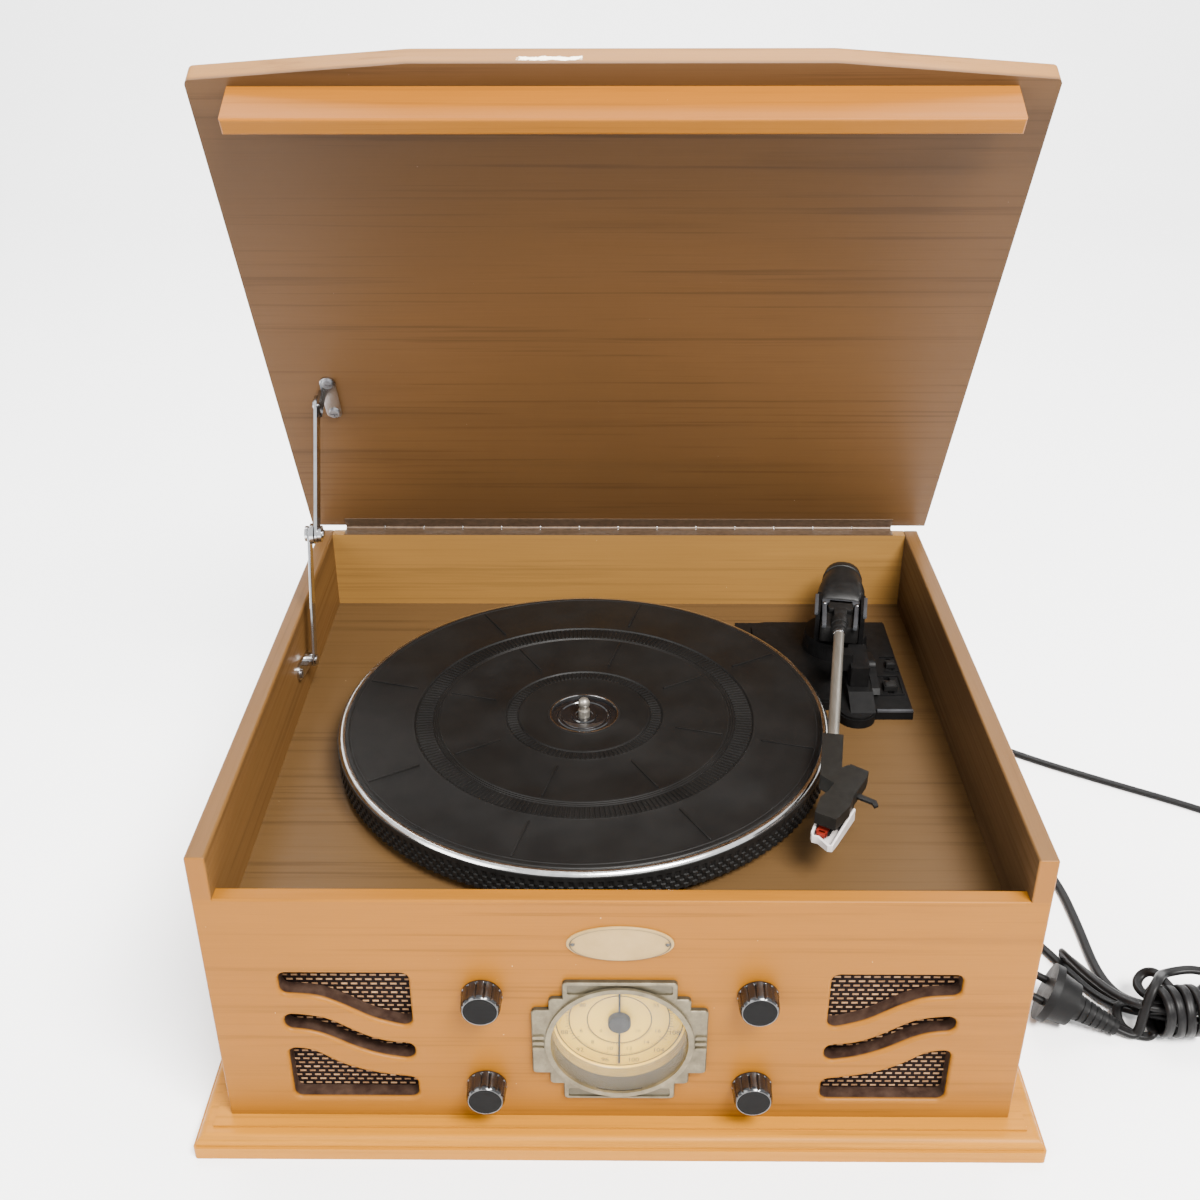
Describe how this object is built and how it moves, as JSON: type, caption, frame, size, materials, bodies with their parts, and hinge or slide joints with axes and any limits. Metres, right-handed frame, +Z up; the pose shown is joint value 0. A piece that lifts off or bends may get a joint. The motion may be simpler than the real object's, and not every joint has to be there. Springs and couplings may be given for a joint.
{
  "type": "stereo radio with record player",
  "caption": "Wooden tabletop stereo with a round tuning dial, cloth-backed speaker grilles, and a belt-driven record player under a hinged lid.",
  "frame": {"origin": "on the floor, under the middle of the cabinet box", "axes": "+X to the right seen from the front, +Y to the back, +Z up"},
  "size_m": [0.7225, 0.4788, 0.5409],
  "materials": {
    "wood": "satin",
    "dark_wood": "satin",
    "chrome": "polished",
    "bronze": "dark satin",
    "pewter": "satin",
    "cream": "matte",
    "clear": "clear",
    "cloth": "woven",
    "black_gloss": "gloss",
    "dark_plastic": "satin",
    "grey_plastic": "satin",
    "white_plastic": "satin",
    "red_plastic": "gloss",
    "aluminium": "satin",
    "steel": "brushed",
    "rubber": "matte",
    "board": "satin",
    "fibreboard": "matte"
  },
  "bodies": {
    "cabinet": {"base_board": "wood", "left_side": "wood", "right_side": "wood", "front_panel": "wood", "back_panel": "fibreboard", "deck_board": "wood", "hinge_cabinet_leaf": "bronze", "hinge_pin": "steel", "stay_wall_bracket": "chrome", "stay_wall_screws": "steel", "dial_bezel": "pewter", "dial_plate": "cream", "dial_lens": "clear", "name_badge": "cream", "rotary_controls": "steel", "speaker_cloths": "cloth", "speakers": "steel", "amplifier_board": "board", "mains_transformer": "steel", "spindle": "steel", "spindle_bearing": "dark_plastic", "drive_motor": "steel", "drive_belt": "rubber", "tonearm_base_plate": "dark_plastic", "tonearm_turret": "dark_plastic", "arm_rest": "dark_plastic", "cord_gland": "rubber", "mains_cord": "rubber", "cord_hank": "rubber", "mains_plug": "rubber"},
    "lid": {"lid_panel": "wood", "lid_front_bar": "wood", "hinge_lid_leaf": "bronze", "stay_lid_bracket": "chrome", "stay_lid_screws": "steel"},
    "stay_lower": {"stay_lower_arm": "chrome"},
    "stay_upper": {"stay_upper_arm": "chrome"},
    "turntable": {"platter": "aluminium", "platter_mat": "rubber"},
    "pulley": {"motor_pulley": "aluminium"},
    "arm_swivel": {"tonearm_yoke": "aluminium"},
    "arm": {"tonearm_counterweight": "dark_plastic", "tonearm_tube": "steel", "headshell": "grey_plastic", "cartridge": "dark_plastic", "stylus": "red_plastic", "finger_lift": "grey_plastic"},
    "guard": {"stylus_guard": "white_plastic"},
    "cueing": {"cue_lever": "dark_plastic"},
    "speed": {"speed_lever": "dark_plastic"},
    "auto_stop": {"auto_stop_lever": "dark_plastic"},
    "volume": {"volume_knob": "black_gloss", "volume_shaft": "steel"},
    "tone": {"tone_knob": "black_gloss", "tone_shaft": "steel"},
    "tuning": {"tuning_knob": "black_gloss", "tuning_shaft": "steel"},
    "band": {"band_knob": "black_gloss", "band_shaft": "steel"},
    "pointer": {"dial_pointer": "grey_plastic"}
  },
  "joints": [
    {"name": "lid_hinge", "type": "hinge", "parent": "cabinet", "child": "lid", "pos_m": [0, 0.1842, 0.1967], "axis": [1, 0, 0], "range_deg": [0, 63.3]},
    {"name": "stay_lower_pivot", "type": "hinge", "parent": "cabinet", "child": "stay_lower", "pos_m": [-0.1965, 0.053, 0.166], "axis": [1, 0, 0], "range_deg": [0, 113.7]},
    {"name": "stay_upper_pivot", "type": "hinge", "parent": "lid", "child": "stay_upper", "pos_m": [-0.1926, 0.11715, 0.31711], "axis": [1, 0, 0], "range_deg": [-101.8, 0]},
    {"name": "platter_spin", "type": "hinge", "parent": "cabinet", "child": "turntable", "pos_m": [-0.0213, -0.0069, 0.15], "axis": [0, 0, -1], "continuous": true},
    {"name": "pulley_spin", "type": "hinge", "parent": "cabinet", "child": "pulley", "pos_m": [-0.0993, 0.0711, 0.15], "axis": [0, 0, -1], "continuous": true},
    {"name": "arm_swing", "type": "hinge", "parent": "cabinet", "child": "arm_swivel", "pos_m": [0.15, 0.103, 0.16], "axis": [0, 0, -1], "range_deg": [0, 33]},
    {"name": "arm_lift", "type": "hinge", "parent": "arm_swivel", "child": "arm", "pos_m": [0.15, 0.103, 0.178], "axis": [-0.9854, 0.1702, 0], "range_deg": [0, 3]},
    {"name": "guard_slide", "type": "slide", "parent": "arm", "child": "guard", "axis": [-0.5, -0.866, 0], "range_m": [0, 0.012]},
    {"name": "cue_lift", "type": "hinge", "parent": "cabinet", "child": "cueing", "pos_m": [0.1657, 0.063, 0.156], "axis": [-1, 0, 0], "range_deg": [0, 22]},
    {"name": "speed_slide", "type": "slide", "parent": "cabinet", "child": "speed", "axis": [0, 1, 0], "range_m": [0, 0.009]},
    {"name": "auto_stop_slide", "type": "slide", "parent": "cabinet", "child": "auto_stop", "axis": [0, 1, 0], "range_m": [0, 0.007]},
    {"name": "volume_turn", "type": "hinge", "parent": "cabinet", "child": "volume", "pos_m": [-0.072, -0.182, 0.1058], "axis": [0, 1, 0], "range_deg": [0, 300]},
    {"name": "tone_turn", "type": "hinge", "parent": "cabinet", "child": "tone", "pos_m": [-0.072, -0.182, 0.0396], "axis": [0, 1, 0], "range_deg": [-150, 150]},
    {"name": "tuning_turn", "type": "hinge", "parent": "cabinet", "child": "tuning", "pos_m": [0.072, -0.182, 0.1058], "axis": [0, 1, 0], "range_deg": [-270, 270]},
    {"name": "band_turn", "type": "hinge", "parent": "cabinet", "child": "band", "pos_m": [0.072, -0.182, 0.0396], "axis": [0, 1, 0], "range_deg": [0, 90]},
    {"name": "pointer_turn", "type": "hinge", "parent": "cabinet", "child": "pointer", "pos_m": [0, -0.17, 0.0742], "axis": [0, 1, 0], "range_deg": [-91, 91]}
  ],
  "couplings": [
    {"joint": "stay_lower_pivot", "follows": "lid_hinge", "ratio": 1.7948},
    {"joint": "stay_upper_pivot", "follows": "lid_hinge", "ratio": -1.6058},
    {"joint": "pulley_spin", "follows": "platter_spin", "ratio": 8.5},
    {"joint": "pointer_turn", "follows": "tuning_turn", "ratio": 0.33333}
  ]
}
